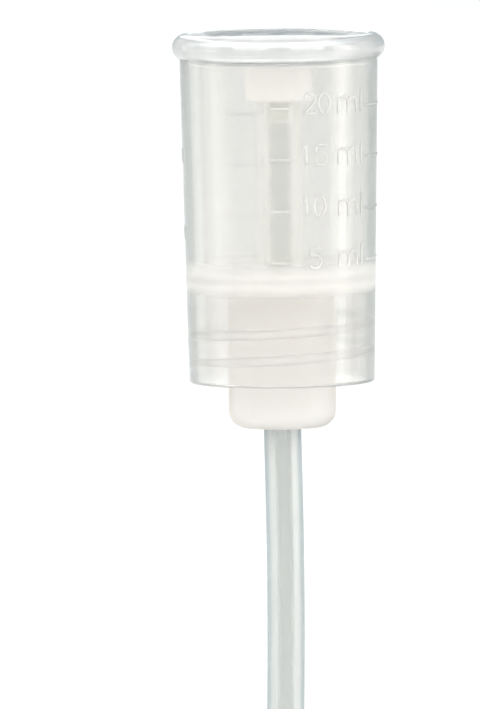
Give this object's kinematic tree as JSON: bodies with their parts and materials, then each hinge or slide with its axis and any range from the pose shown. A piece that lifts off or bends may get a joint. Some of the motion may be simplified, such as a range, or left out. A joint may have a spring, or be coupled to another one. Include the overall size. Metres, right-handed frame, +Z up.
{
  "type": "dosing cup closure",
  "caption": "Squeeze-to-fill dosing cup with a snap lid that screws on a 28 mm bottle neck; a sliding riser tube under a bell sets the dose.",
  "frame": {"origin": "on the cup's axis, at the face of the insert's flange that seals on the bottle's neck", "axes": "+Z up along the axis, from the dip tube to the lid; -Y is the side with the raised graduations, +X is to the right of it"},
  "size_m": [0.034, 0.034, 0.1832],
  "materials": {
    "clear_polypropylene": "clear, slightly hazy, gloss",
    "natural_polyethylene": "natural, milky and translucent, satin"
  },
  "bodies": {
    "cup": {"measuring_cup": "clear_polypropylene", "neck_insert": "natural_polyethylene"},
    "riser": {"riser_tube": "clear_polypropylene", "deflector_cap": "natural_polyethylene", "dip_tube": "natural_polyethylene"},
    "lid": {"lid": "natural_polyethylene"}
  },
  "joints": [
    {"name": "dose_slide", "type": "slide", "parent": "cup", "child": "riser", "axis": [0, 0, 1], "range_m": [-0.0247, 0]},
    {"name": "lid_lift", "type": "slide", "parent": "cup", "child": "lid", "axis": [0, 0, 1], "range_m": [0, 0.03]}
  ]
}
